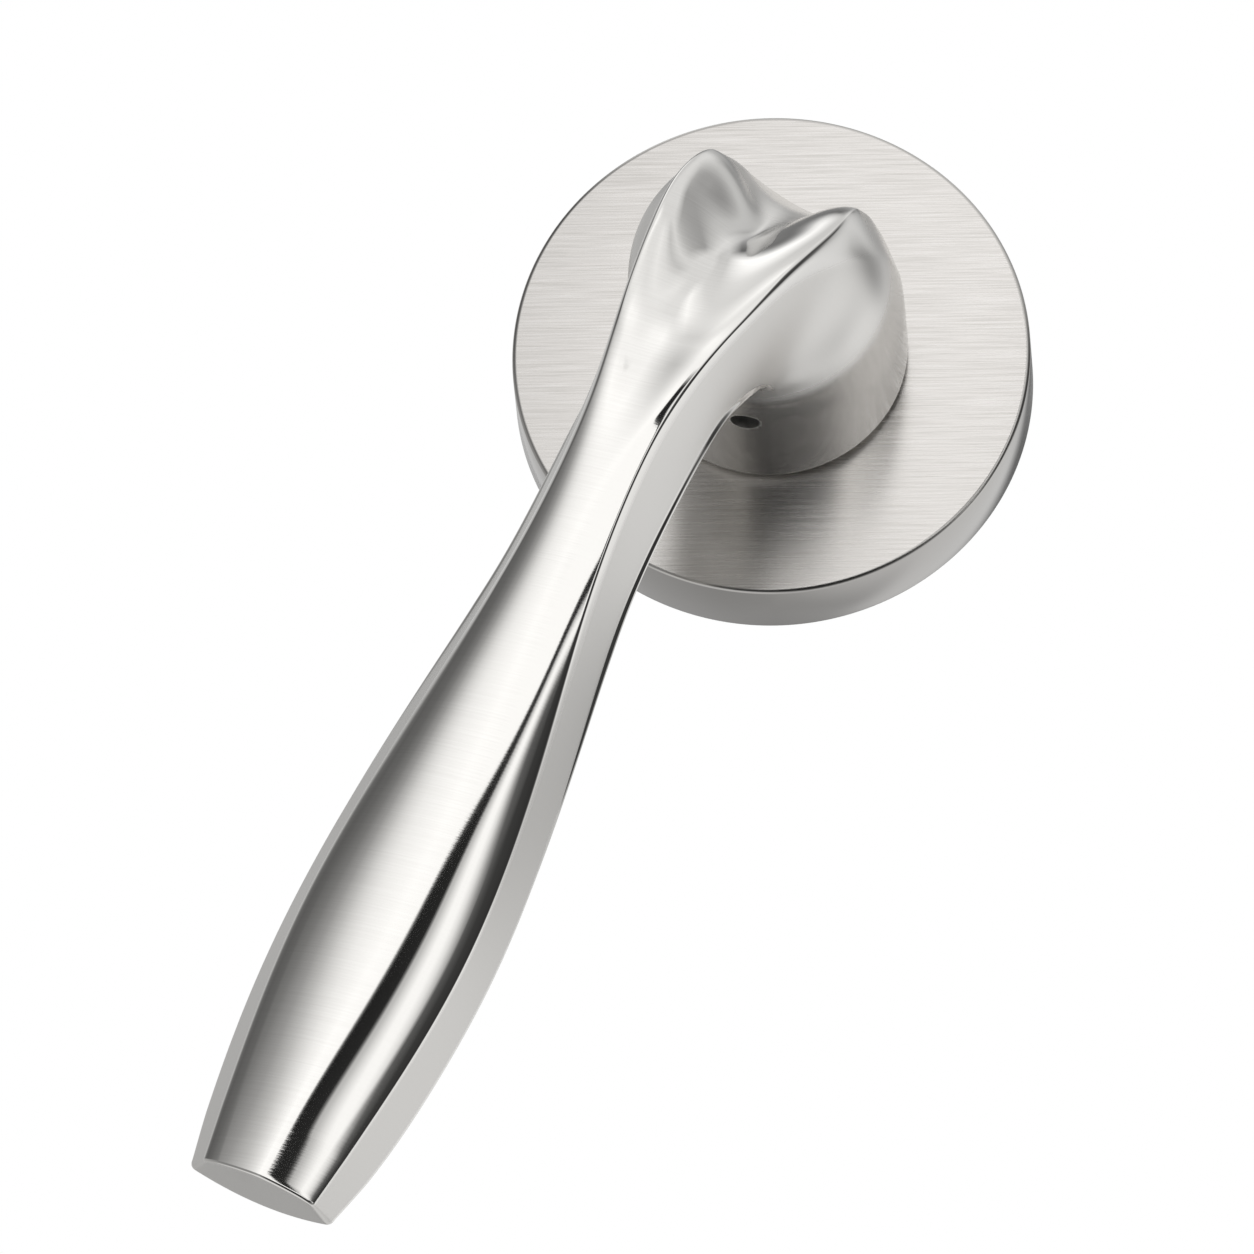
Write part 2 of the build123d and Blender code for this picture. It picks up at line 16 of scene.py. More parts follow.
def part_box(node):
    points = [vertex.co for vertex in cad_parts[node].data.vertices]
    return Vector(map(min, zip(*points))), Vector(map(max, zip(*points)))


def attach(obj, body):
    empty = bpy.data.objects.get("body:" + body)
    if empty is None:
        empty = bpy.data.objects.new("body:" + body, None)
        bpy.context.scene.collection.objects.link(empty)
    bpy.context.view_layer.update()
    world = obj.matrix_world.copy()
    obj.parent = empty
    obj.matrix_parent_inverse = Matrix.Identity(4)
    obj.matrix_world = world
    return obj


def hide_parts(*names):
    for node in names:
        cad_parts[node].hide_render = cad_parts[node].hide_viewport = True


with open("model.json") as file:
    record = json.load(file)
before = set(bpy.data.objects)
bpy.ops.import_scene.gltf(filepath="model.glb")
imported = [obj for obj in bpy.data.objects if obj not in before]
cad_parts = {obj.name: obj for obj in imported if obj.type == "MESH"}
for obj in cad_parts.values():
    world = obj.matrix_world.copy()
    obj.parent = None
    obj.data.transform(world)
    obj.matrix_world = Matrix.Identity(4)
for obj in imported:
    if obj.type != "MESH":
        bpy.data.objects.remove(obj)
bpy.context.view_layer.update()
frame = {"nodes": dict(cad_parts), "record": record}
MM = 0.001


def to_world(points):
    """Bench millimetres (x away from the tip, y up the door, z out of it) as frame metres (x, -z, y)."""
    return np.stack([points[..., 0], -points[..., 2], points[..., 1]], axis=-1) * MM


# %% [markdown]
# ## Camera
# The photograph is nearly without perspective, so the camera stands far away with a long lens. Its
# three directions were read from the ellipse of the rose and the run of the arm: it looks up a little
# from below the handle and is rolled, so that the arm hangs towards the lower left.

# %% Camera
IMAGE_SIZE = 1254
PIXELS_PER_MM = 9.979
FOCAL_PIXELS = 40000
SENSOR = 36.0
CAMERA_RIGHT = Vector((0.4239, 0.0407, -0.9049))
CAMERA_UP = Vector((0.8400, -0.3913, 0.3759))
CAMERA_BACK = CAMERA_RIGHT.cross(CAMERA_UP)
ROSE_THICKNESS = 8.6
ROSE_CENTRE = Vector((0, -ROSE_THICKNESS, 0))
ROSE_PIXEL = (771.3, 354.1)

camera_data = bpy.data.cameras.new("camera")
camera = bpy.data.objects.new("camera", camera_data)
bpy.context.scene.collection.objects.link(camera)
camera_data.sensor_width = SENSOR
camera_data.lens = SENSOR * FOCAL_PIXELS / IMAGE_SIZE
distance = FOCAL_PIXELS / PIXELS_PER_MM
middle = IMAGE_SIZE / 2
aim = ROSE_CENTRE + CAMERA_RIGHT * ((middle - ROSE_PIXEL[0]) / PIXELS_PER_MM)
aim = aim + CAMERA_UP * ((ROSE_PIXEL[1] - middle) / PIXELS_PER_MM)
turn = Matrix((CAMERA_RIGHT, CAMERA_UP, CAMERA_BACK)).transposed().to_4x4()
camera.matrix_world = Matrix.Translation((aim + CAMERA_BACK * distance) * MM) @ turn
camera_data.clip_end = 2 * distance * MM
bpy.context.scene.camera = camera
print("camera stands", round(distance * MM, 2), "m away, lens", round(camera_data.lens), "mm")

# %% [markdown]
# ## Form of the lever
# The real lever is one zinc casting, ground and polished. It could be carved from a subdivided box, but
# its ridges have to stay crisp and its curves fair, so it is drawn as a shipwright draws a hull: key
# sections across the arm, and a smooth spline through them. Round the bend the sections fan out about a
# line under the arm. Each half of a section has three curves: the front from the middle to the ridge,
# the side from the ridge to the edge, and the back from the edge to the middle. A row of the tables
# gives the places of these points and the angles at which the curves meet them.

# %% Key sections of the lever
NECK_RADIUS = 13.75
NECK_BASE = 9.0
NECK_TILT = -20.0
NECK_DIPS = (0.9, 0.2, 0.0, 0.0, 0.0)
NECK_SOFT = 1.0
REACH = 116.0
ARM_TURN = 90
BEND_X = 24.0
BEND_RISE = 20.0
BEND_HEIGHT = ROSE_THICKNESS + BEND_RISE
RIDGE_ANGLE = 36.5
EDGE_ANGLE = 151.5
FIELDS = ("x height turn stretch back edge edge_half ridge ridge_half front cleft hold roll lean tuck heel"
          " soft polish").split()

# Arm: share of the reach, then back to polish as in FIELDS. Back, edge, ridge and front are distances
# from the bend's line and the halves are half widths, in mm; hold is a handle's length as a share of
# the ridge's half width; cleft and roll to heel are angles in degrees; soft is how far a ridge is rounded
GRIP = (
    (1.000, 13.0, 15.5, 7.85, 19.60, 5.80, 21.2, 0, 0.19, -28, 0, 0, -146, 0.40, 1),
    (0.922, 10.9, 14.3, 9.40, 19.55, 7.00, 21.6, 0, 0.26, -31, 0, 0, -138, 0.40, 1),
    (0.836, 9.6, 14.1, 10.50, 19.50, 8.10, 21.8, 0, 0.34, -33, 0, 0, -132, 0.40, 1),
    (0.741, 8.9, 14.1, 10.90, 19.70, 8.60, 22.1, 0, 0.42, -34, 0, 0, -129, 0.40, 1),
    (0.621, 9.0, 15.0, 10.10, 20.60, 7.70, 22.9, 0, 0.50, -36, 0, 0, -125, 0.40, 1),
    (0.500, 9.6, 16.3, 8.30, 22.60, 5.90, 24.4, 0, 0.52, -37, 0, 0, -121, 0.40, 1),
    (0.388, 10.4, 17.3, 6.65, 25.40, 4.30, 26.6, 0, 0.50, -33, 0, 0, -117, 0.40, 1),
    (0.284, 11.0, 17.7, 6.30, 27.90, 3.85, 28.4, 0, 0.50, -26, 3, 4, -117, 0.40, 1),
)
# Bend: turn about the bend's line, how far back to front have left the neck's circle, then cleft to polish
BEND = (
    (90, 0.65, 4.68, -0.21, -6.60, -3.40, -9.45, 0, 0.45, -16, 3, 4, -121, 0.4, 1),
    (72, 0.15, 2.48, -0.21, -7.05, -1.80, -10.55, 0, 0.40, -12, 4, 6, -125, 0.4, 1),
    (54, -0.20, 0.88, -0.26, -6.25, -0.38, -11.45, 0, 0.34, -10, 8, 10, -131, 0.7, 1),
    (36, -0.35, 0.18, -0.26, -4.75, 0.62, -12.05, 6, 0.30, -10, 14, 20, -140, 1.4, 1),
    (22, -0.35, 0.08, -0.16, -3.10, 0.32, -11.35, 36, 0.34, -12, 36, 38, -147, 1.8, 0.6),
    (15, -0.30, 0.03, -0.11, -2.95, 0.12, -9.85, 14, 0.42, -14, 52, 48, -149, 1.9, 0.3),
    (7, -0.25, -0.02, -0.06, -2.40, 0.02, -7.65, 2, 0.55, -18, 60, 54, -150, 1.8, 0.1),
    (-6, -0.01, 0.01, -0.02, -0.65, 0.02, -4.35, 0, 0.50, -26, 58, 56, -151, 2.0, 0),
)
print("rows for the arm and the bend:", len(GRIP), len(BEND))

# %% [markdown]
# ### Rows from the tip to the foot
# The neck is a round bar, so its sections come from a formula. The bend's rows were given as changes
# from that circle, because small numbers near zero show better how the shoulder grows out of the neck.

# %% Rows of key sections
PLACES = slice(FIELDS.index("back"), FIELDS.index("cleft"))


def on_circle(radius, angle):
    """The point at an angle in degrees on a circle about the origin."""
    return radius * math.cos(math.radians(angle)), radius * math.sin(math.radians(angle))


def neck_circle(height, tilt, dip):
    """The neck's round section on a plane that leans by tilt: a circle stretched by 1 / cos(tilt)."""
    ridge, edge = on_circle(NECK_RADIUS, RIDGE_ANGLE), on_circle(NECK_RADIUS, EDGE_ANGLE)
    lean = (EDGE_ANGLE - RIDGE_ANGLE) / 2
    hold = 4 / 3 * math.tan(math.radians(RIDGE_ANGLE / 4)) * NECK_RADIUS / ridge[1]
    return [
        -BEND_X, height, tilt, 1 / math.cos(math.radians(tilt)), BEND_X - NECK_RADIUS, BEND_X + edge[0],
        edge[1], BEND_X + ridge[0], ridge[1], BEND_X + NECK_RADIUS - dip, 0, hold, -RIDGE_ANGLE, lean, lean,
        -EDGE_ANGLE, NECK_SOFT, 0.0,
    ]


def key_sections():
    """All key sections as rows of FIELDS, from the tip to the foot of the neck."""
    rows = [[-share * REACH, BEND_HEIGHT, ARM_TURN, 1, *row] for share, *row in GRIP]
    circle = neck_circle(BEND_HEIGHT, 0, 0)[PLACES]
    for turn_angle, *row in BEND:
        left = [start + change for start, change in zip(circle, row)]
        rows.append([-BEND_X, BEND_HEIGHT, turn_angle, 1, *left, *row[len(circle):]])
    for share, dip in zip(np.linspace(1, 0, len(NECK_DIPS)), NECK_DIPS):
        rows.append(neck_circle(NECK_BASE + share * (BEND_HEIGHT - NECK_BASE), NECK_TILT * share, dip))
    return np.array(rows, dtype=float)


keys = key_sections()
print(len(keys), "key sections")

# %% [markdown]
# ### A spline through the rows
# The surface between the key sections has to be as fair as a ground casting. Blender's own curves could
# be lofted, but a natural cubic spline through every field carries the angles and the softness of the
# corners along as well. The rows are spaced by how far the ridge, the edge and the back travel.

# %% Smooth sections
LEVER_ROWS = 330


def spline_rows(knots, rows, places):
    """Rows at new places on a natural cubic spline: the bends at the knots solve a banded system."""
    gaps = np.diff(knots)
    inner = np.arange(1, len(knots) - 1)
    matrix = np.eye(len(knots))
    matrix[inner, inner - 1] = gaps[:-1]
    matrix[inner, inner] = 2 * (gaps[:-1] + gaps[1:])
    matrix[inner, inner + 1] = gaps[1:]
    bends = np.zeros_like(rows)
    bends[1:-1] = 6 * np.diff(np.diff(rows, axis=0) / gaps[:, None], axis=0)
    bends = np.linalg.solve(matrix, bends)
    first = np.clip(np.searchsorted(knots, places) - 1, 0, len(knots) - 2)
    gap = gaps[first][:, None]
    a = (knots[first + 1] - places)[:, None] / gap
    b = 1 - a
    bow = (a ** 3 - a) * bends[first] + (b ** 3 - b) * bends[first + 1]
    return a * rows[first] + b * rows[first + 1] + bow * gap ** 2 / 6


def place(rows, half, out):
    """Points of each section: out runs away from the bend's line in the section's plane, half across it."""
    x, height, angle, stretch = (rows[:, i].reshape(-1, *[1] * (half.ndim - 1)) for i in range(4))
    reach = out * stretch
    return np.stack([
        x + reach * np.cos(np.radians(angle)), half, height + reach * np.sin(np.radians(angle))
    ], axis=-1)


column = {name: i for i, name in enumerate(FIELDS)}
lines = np.stack([
    place(keys, keys[:, column["ridge_half"]], keys[:, column["ridge"]]),
    place(keys, keys[:, column["edge_half"]], keys[:, column["edge"]]),
    place(keys, np.zeros(len(keys)), keys[:, column["back"]]),
], axis=1)
steps = np.sqrt((np.diff(lines, axis=0) ** 2).sum(axis=2).mean(axis=1))
knots = np.concatenate([[0], np.cumsum(steps)])
sections = spline_rows(knots, keys, np.linspace(0, knots[-1], LEVER_ROWS))
sections[:, column["polish"]] = np.clip(sections[:, column["polish"]], 0, 1)
print(len(sections), "sections over", round(knots[-1]), "mm")

# %% [markdown]
# ## Outline of one section
# Two tangents and a pair of handle lengths make a cubic curve. Where two curves meet at the ridge or at
# the edge, a real casting is never knife sharp: grinding leaves a small radius that catches a thin line
# of light. A Bevel modifier would round every corner alike, so instead both curves stop a little short
# of the corner and a parabola rounds it.

# %% Curves and roundings
TRIM_LIMIT = 0.3


def heading(angle):
    """Unit vectors (half, out) at angles in degrees."""
    return np.stack([np.cos(np.radians(angle)), np.sin(np.radians(angle))], axis=-1)


def tangent_curve(start, start_angle, end, end_angle, holds=None):
    """Control points of a cubic; handles of 2/3 chord / (1 + cos(turn / 2)) make it nearly an arc."""
    if holds is None:
        chord = np.linalg.norm(end - start, axis=-1)
        hold = 2 / 3 * chord / (1 + np.cos(np.radians(end_angle - start_angle) / 2))
        holds = (hold, hold)
    first = start + holds[0][:, None] * heading(start_angle)
    last = end - holds[1][:, None] * heading(end_angle)
    return np.stack([start, first, last, end], axis=1)


def on_curve(control, low, high, count):
    """Points of each row's cubic between its own low and high parameters: the Bernstein sum."""
    t = (low[:, None] + (high - low)[:, None] * np.linspace(0, 1, count))[..., None]
    p = control[:, None]
    return ((1 - t) ** 3 * p[:, :, 0] + 3 * (1 - t) ** 2 * t * p[:, :, 1]
            + 3 * (1 - t) * t ** 2 * p[:, :, 2] + t ** 3 * p[:, :, 3])


def trim(control, handle, soft):
    """The share of each cubic that a length of soft takes at its first handle (0) or its last (2)."""
    speed = 3 * np.linalg.norm(control[:, handle] - control[:, handle + 1], axis=-1)
    return np.minimum(soft / speed, TRIM_LIMIT)


def rounded(before, corner, after, count, lip=0.0):
    """Inner points of a parabola from before to after, bent towards the corner, plus lip sin^2(pi t)."""
    t = np.linspace(0, 1, count + 2)[1:-1][None, :, None]
    curve = (1 - t) ** 2 * before[:, None] + 2 * t * (1 - t) * corner[:, None] + t ** 2 * after[:, None]
    out = corner - (before + after) / 2
    out /= np.linalg.norm(out, axis=-1, keepdims=True)
    return curve + np.sin(np.pi * t) ** 2 * (lip * out.T).T[:, None]


# %% [markdown]
# ### Soft and crisp corners
# The polishing wheel didn't wear all corners alike. Near the rose a ridge stays crisp towards the front
# and melts into the flank, and a fine lip runs along the back edge. On the grip it melts into the front
# and stays crisp towards the flank. The cleft of the shoulder has a round bottom: where a crease would
# rise with x, a hyperbola, hypot(x, s) - s, rises from a flat middle.

# %% Section outlines
COUNTS = {"front": 34, "ridge": 11, "side": 30, "edge": 17, "back": 16}
FRONT_ROLL = 0.36
# Lengths in mm that the roundings take; the grip's own change to those near the rose between two x
GRIP_FADE = (-75.0, -50.0)
EDGE_SOFT = 0.7
GRIP_EDGE_SOFT = 0.3
FLANK_SOFT = 2.5
GRIP_FLANK_SOFT = 0.5
FRONT_SOFT = 0.6
GRIP_FRONT_SOFT = 1.4
CLEFT_SOFT = 0.7
LIP_HEIGHT = 0.4
LIP_TURN = (20.0, 50.0)


def share_between(value, start, end):
    """0 at start and before it, 1 at end and past it, and straight between."""
    return np.clip((value - start) / (end - start), 0, 1)


def blend(start, end, share):
    """Start where the share is 0, end where it is 1."""
    return start + (end - start) * share


def half_outline(rows):
    """(half, out) points of one half of each section, from the front's middle round to the back's."""
    v = {name: rows[:, i] for name, i in column.items()}
    none = np.zeros(len(rows))
    middle, heel = (np.stack([none, v[name]], axis=-1) for name in ("front", "back"))
    ridge = np.stack([v["ridge_half"], v["ridge"]], axis=-1)
    edge = np.stack([v["edge_half"], v["edge"]], axis=-1)
    chord = np.degrees(np.arctan2(*(edge - ridge).T[::-1]))
    holds = (v["hold"] * v["ridge_half"], FRONT_ROLL * v["ridge_half"])
    front = tangent_curve(middle, v["cleft"], ridge, v["roll"], holds)
    side = tangent_curve(ridge, chord + v["lean"], edge, chord - v["tuck"])
    back = tangent_curve(edge, v["heel"], heel, none - 180)

    near_rose = share_between(v["x"], *GRIP_FADE)
    edge_soft = blend(GRIP_EDGE_SOFT, EDGE_SOFT, near_rose)
    front_soft = blend(GRIP_FRONT_SOFT, np.minimum(v["soft"], FRONT_SOFT), near_rose)
    flank_soft = blend(GRIP_FLANK_SOFT, FLANK_SOFT * v["soft"], near_rose)
    lip = LIP_HEIGHT * share_between(v["turn"], *LIP_TURN) * near_rose

    front_points = on_curve(front, none, 1 - trim(front, 2, front_soft), COUNTS["front"])
    from_middle = front_points[..., 0]
    sharpness = from_middle + CLEFT_SOFT - np.hypot(from_middle, CLEFT_SOFT)
    fading = 1 - from_middle / v["ridge_half"][:, None]
    front_points[..., 1] -= np.tan(np.radians(v["cleft"]))[:, None] * sharpness * fading
    side_points = on_curve(side, trim(side, 0, flank_soft), 1 - trim(side, 2, edge_soft), COUNTS["side"])
    back_points = on_curve(back, trim(back, 0, edge_soft), none + 1, COUNTS["back"])
    return np.concatenate([
        front_points, rounded(front_points[:, -1], ridge, side_points[:, 0], COUNTS["ridge"]),
        side_points, rounded(side_points[:, -1], edge, back_points[:, 0], COUNTS["edge"], lip), back_points,
    ], axis=1)


half = half_outline(sections)
mirrored = half[:, -2:0:-1] * np.array([-1, 1])
outline = np.concatenate([half, mirrored], axis=1)
skin = place(sections, outline[..., 0], outline[..., 1])
print("lever skin grid:", skin.shape[:2])

# %% [markdown]
# ## Closing the casting
# The skin is open at both ends. At the tip it rolls over into a flat end face, with a small radius along
# the polished front, which ends in a crisp line, and a larger one on the flanks and the back. At the
# foot it turns under the neck and goes on as the hidden journal, with the groove for the circlip and the
# square socket for the spindle. Caps could be separate pieces, but as more rows of the same grid they
# leave no seam, and the lever stays one shell.

# %% Tip, foot and journal rows
# Lengths in mm; the blend, steps, rings and rows are counts of the grid's columns and rows
TIP_ROUND = 0.9
TIP_FRONT_ROUND = 0.35
TIP_BLEND = 6
TIP_LENGTH = 6.0
TIP_STEPS = 8
TIP_RINGS = 6
FOOT_ROUND = 1.2
FOOT_STEPS = 8
FOOT_ROWS = 20
SOCKET_HALF = 4.05
SOCKET_END = 26.5
# Radius and height of each corner from the neck's foot to the journal's end
JOURNAL = ((10.4, 9.0), (10.4, 7.4), (9.3, 7.4), (9.3, 6.5), (9.0, 6.5), (9.0, 1.9), (8.5, 1.9), (8.5, 0.65),
           (9.0, 0.65), (9.0, 0.2))


def tip_rows(loop, radius):
    """A quarter round from the last loop towards the section's core, then rings that shrink to a point."""
    flat = loop[:, 1:]
    core = np.stack([flat[:, 0] / 2, np.full(len(flat), (flat[:, 1].min() + flat[:, 1].max()) / 2)], axis=-1)
    inward = core - flat
    inward /= np.linalg.norm(inward, axis=-1, keepdims=True)
    angle = np.linspace(0, np.pi / 2, TIP_STEPS + 1)[1:, None]
    rolled = flat + (radius * (1 - np.cos(angle)))[..., None] * inward
    x = loop[:, 0] - radius * np.sin(angle)
    shrink = np.linspace(1, 0, TIP_RINGS + 1)[1:, None, None]
    centre = rolled[-1].mean(axis=0)
    flat_rows = np.concatenate([rolled, centre + (rolled[-1] - centre) * shrink])
    x_rows = np.concatenate([x, np.repeat(x[-1:], TIP_RINGS, axis=0)])
    return np.concatenate([x_rows[..., None], flat_rows], axis=-1)[::-1]


def ring_rows(corners, angles):
    """Rings of given radius and height, at the angles of the skin's columns."""
    radius, height = np.array(corners).T[..., None]
    return np.stack([radius * np.cos(angles), radius * np.sin(angles), height + 0 * angles], axis=-1)


columns = np.arange(outline.shape[1])
from_front = np.minimum(columns, len(columns) - columns)
front_columns = COUNTS["front"] + COUNTS["ridge"]
round_places = (front_columns - TIP_BLEND, front_columns + COUNTS["side"])
tip_round = np.interp(from_front, round_places, (TIP_FRONT_ROUND, TIP_ROUND))
near_tip = np.clip(1 - (skin[..., 0] - skin[0, 0, 0]) / TIP_LENGTH, 0, 1)
skin[..., 0] += tip_round * near_tip
angles = np.arctan2(skin[-1, :, 1], skin[-1, :, 0])
foot_angle = np.linspace(0, np.pi / 2, FOOT_STEPS + 1)[1:]
foot = np.stack([NECK_RADIUS - FOOT_ROUND * (1 - np.cos(foot_angle)),
                 NECK_BASE + FOOT_ROUND * (1 - np.sin(foot_angle))], axis=-1)
skin[-FOOT_ROWS:, :, 2] = np.maximum(skin[-FOOT_ROWS:, :, 2], NECK_BASE + FOOT_ROUND)
square = SOCKET_HALF / np.maximum(np.abs(np.cos(angles)), np.abs(np.sin(angles)))
socket = np.stack([
    np.stack([wide * np.cos(angles), wide * np.sin(angles), 0 * angles + height], axis=-1)
    for wide, height in ((square, JOURNAL[-1][1]), (square, SOCKET_END), (0 * square, SOCKET_END))
])
head = tip_rows(skin[0], tip_round)
tail = np.concatenate([ring_rows(foot, angles), ring_rows(JOURNAL, angles), socket])
lever_points = np.concatenate([head, skin, tail])
print("lever grid with its ends:", lever_points.shape[:2])

# %% [markdown]
# ## From grid to mesh
# A grid of points becomes quads between neighbouring rows and columns. The columns go all round, so the
# last one joins the first. The lever's first and last rows are single points, and the rose's are the
# same ring twice; merging closes both. A signed volume, the sum of a . (b x c) over all triangles, tells
# whether the faces look outwards.

# %% Grid meshes
SHARP_ANGLE = math.radians(40)
WELD_DISTANCE = 1e-7


def grid_quads(rows, columns):
    """Corner numbers of the quads of a grid whose columns wrap round."""
    i = np.arange(rows - 1)[:, None] * columns
    j = np.arange(columns)[None]
    k = (j + 1) % columns
    return np.stack([i + j, i + k, i + columns + k, i + columns + j], axis=-1).reshape(-1, 4)


def shell(name, points, values=None):
    """An object from a wrapped grid in bench millimetres; values are grids of numbers kept as attributes."""
    quads = grid_quads(*points.shape[:2])
    flat = to_world(points).reshape(-1, 3)
    a, b, c, d = (flat[quads[:, i]] for i in range(4))
    volume = np.einsum("ij,ij->", a, np.cross(b, c)) + np.einsum("ij,ij->", a, np.cross(c, d))
    if volume < 0:
        quads = quads[:, ::-1]
    mesh = bpy.data.meshes.new(name)
    mesh.from_pydata(flat, [], quads)
    for key, grid in (values or {}).items():
        layer = mesh.attributes.new(key, "FLOAT", "POINT")
        layer.data.foreach_set("value", grid.astype(np.float32).ravel())
    piece = bpy.data.objects.new(name, mesh)
    bpy.context.scene.collection.objects.link(piece)
    weld = piece.modifiers.new("weld", "WELD")
    weld.merge_threshold = WELD_DISTANCE
    return finished(piece)


def finished(piece):
    """Applies the piece's modifiers and shades it smooth, with hard lines only at true corners."""
    graph = bpy.context.evaluated_depsgraph_get()
    mesh = bpy.data.meshes.new_from_object(piece.evaluated_get(graph))
    piece.modifiers.clear()
    piece.data = mesh
    mesh.shade_smooth()
    mesh.set_sharp_from_angle(angle=SHARP_ANGLE)
    print(piece.name, len(mesh.polygons), "faces")
    return piece


# %% [markdown]
# ## Polished and satin parts of the lever
# The front of the arm, its ridges and its edges were polished on a wheel. The flanks and the back kept
# their satin, and the neck is half polished. Under the polish the upper half of the front still shows
# brush lines. Such masks could be painted by hand in a picture; here the grid's own rows and columns give
# them, as two numbers for each point that the material reads.

# %% Lever with its finish
# Places are columns from the middle of the front, and degrees of the sections' turn for the neck
NECK_POLISH = 0.55
NECK_TURN = (15, -5)
FADE_COLUMNS = 3
EDGE_MARGIN = 1
FLANK_BRUSH = 0.25
BRUSH_START = (-14, -9)

edge_middle = front_columns + COUNTS["side"] + COUNTS["edge"] // 2
edge_reach = COUNTS["edge"] / 2
on_front = share_between(from_front, front_columns + FADE_COLUMNS / 2, front_columns - FADE_COLUMNS / 2)
on_edge = share_between(np.abs(from_front - edge_middle), edge_reach + EDGE_MARGIN, edge_reach - EDGE_MARGIN)
wheel = np.maximum(on_front, on_edge)
neck_share = share_between(sections[:, column["turn"]], *NECK_TURN)
polish = np.zeros(lever_points.shape[:2])
polish[len(head):len(head) + LEVER_ROWS] = np.maximum(
    sections[:, column["polish"], None] * wheel, NECK_POLISH * neck_share[:, None])
polish[len(head) - TIP_STEPS + 1:len(head)] = wheel
upward = np.where(columns > len(columns) / 2, columns - len(columns), columns)
inside_ridge = share_between(upward, front_columns, front_columns - FADE_COLUMNS)
lined = share_between(upward, *BRUSH_START) * inside_ridge
brush = np.maximum(lined, FLANK_BRUSH) * np.ones(lever_points.shape[:2])
lever = shell("lever_casting", lever_points, {"polish": polish, "brush": brush})

# %% [markdown]
# ## Hole of the grub screw
# A small set screw in the neck, under the arm, holds the lever on its spindle. Its hole is drilled
# straight through the wall, so a Boolean with a plain drill is the natural way. The drill's axis comes
# from the screw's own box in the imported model.

# %% Grub screw hole
DRILL_RADIUS = 1.5
DRILL_END = 18.0
DRILL_SIDES = 48
screw_low, screw_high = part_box("grub_screw")
screw = (screw_low + screw_high) / 2 / MM
out_x, out_y = np.array((screw.x, screw.z)) / math.hypot(screw.x, screw.z)
around = np.linspace(0, 2 * np.pi, DRILL_SIDES, endpoint=False)
along = np.array((SOCKET_HALF, SOCKET_HALF, DRILL_END, DRILL_END))[:, None]
wide = np.array((0, DRILL_RADIUS, DRILL_RADIUS, 0))[:, None]
aside = wide * np.cos(around)
drill = shell("drill", np.stack([
    out_x * along - out_y * aside, out_y * along + out_x * aside, wide * np.sin(around) - screw.y
], axis=-1))
cut = lever.modifiers.new("cut", "BOOLEAN")
cut.object = drill
cut.solver = "EXACT"
bpy.context.view_layer.update()
finished(lever)
bpy.data.objects.remove(drill)

# %% [markdown]
# ## Rose cover
# The rose is a thin pressed cup. Its face is flat and its rim is turned down with a small radius that
# draws a bright line all round. A bevelled cylinder would come close; a profile spun about the
# spindle's axis gives the bore, the wall and the roundings at once, without facets.

# %% Rose cover
ROSE_RADIUS = 26.0
COVER_WALL = 1.0
COVER_BORE = 11.6
RIM_ROUND = 0.45
BACK_ROUND = 0.25
RIM_STEPS = 6
BACK_STEPS = 4
SPIN_STEPS = 256


def arc(centre, radius, start_angle, end_angle, count):
    """Points on an arc in the (radius, height) profile."""
    angle = np.radians(np.linspace(start_angle, end_angle, count))
    return np.stack([centre[0] + radius * np.cos(angle), centre[1] + radius * np.sin(angle)], axis=-1)


inner = ROSE_RADIUS - COVER_WALL
under = ROSE_THICKNESS - COVER_WALL
profile = np.concatenate([
    [(COVER_BORE, under), (COVER_BORE, ROSE_THICKNESS)],
    arc((ROSE_RADIUS - RIM_ROUND, ROSE_THICKNESS - RIM_ROUND), RIM_ROUND, 90, 0, RIM_STEPS),
    arc((ROSE_RADIUS - BACK_ROUND, BACK_ROUND), BACK_ROUND, 0, -90, BACK_STEPS),
    [(inner, 0), (inner, under), (COVER_BORE, under)],
])
spin = np.linspace(0, 2 * np.pi, SPIN_STEPS, endpoint=False)
on_face = np.isclose(profile[:, 1], ROSE_THICKNESS)[:, None] * np.ones(SPIN_STEPS)
cover = shell("rose_cover_pressing", ring_rows(profile, spin), {"face": on_face})

# %% [markdown]
# ## Materials
# Nickel is a warm pale grey metal. On this handle it has three finishes: the front of the arm is
# polished, the rest of the casting is satin from a fine abrasive, and the rose is brushed in straight
# lines. The finishes differ in roughness, in the direction and depth of fine scratches, and a little in
# colour, because scratches hold shade; the rose's rim is painted a darker grey as shade. All patterns
# come from noise in the piece's own coordinates, so no picture has to be wrapped round the curves.

# %% Colours and nodes
def linear(colour):
    """An sRGB hex colour as linear RGBA: v / 12.92 near black, ((v + 0.055) / 1.055) ^ 2.4 above it."""
    srgb = np.array([int(colour[i:i + 2], 16) for i in (1, 3, 5)]) / 255
    light = np.where(srgb <= 0.04045, srgb / 12.92, ((srgb + 0.055) / 1.055) ** 2.4)
    return (*light.tolist(), 1.0)


def add_node(tree, kind, settings=None, links=None):
    """Adds a node, sets its properties or input values, and links inputs to other nodes' outputs."""
    node = tree.nodes.new(kind)
    for key, value in (settings or {}).items():
        if isinstance(key, str) and hasattr(node, key):
            setattr(node, key, value)
        else:
            node.inputs[key].default_value = value
    for key, output in (links or {}).items():
        tree.links.new(output, node.inputs[key])
    return node


def new_material(name):
    """An empty node material, returned with its tree and its output node."""
    material = bpy.data.materials.new(name)
    material.use_nodes = True
    tree = material.node_tree
    tree.nodes.clear()
    output = add_node(tree, "ShaderNodeOutputMaterial")
    return material, tree, output


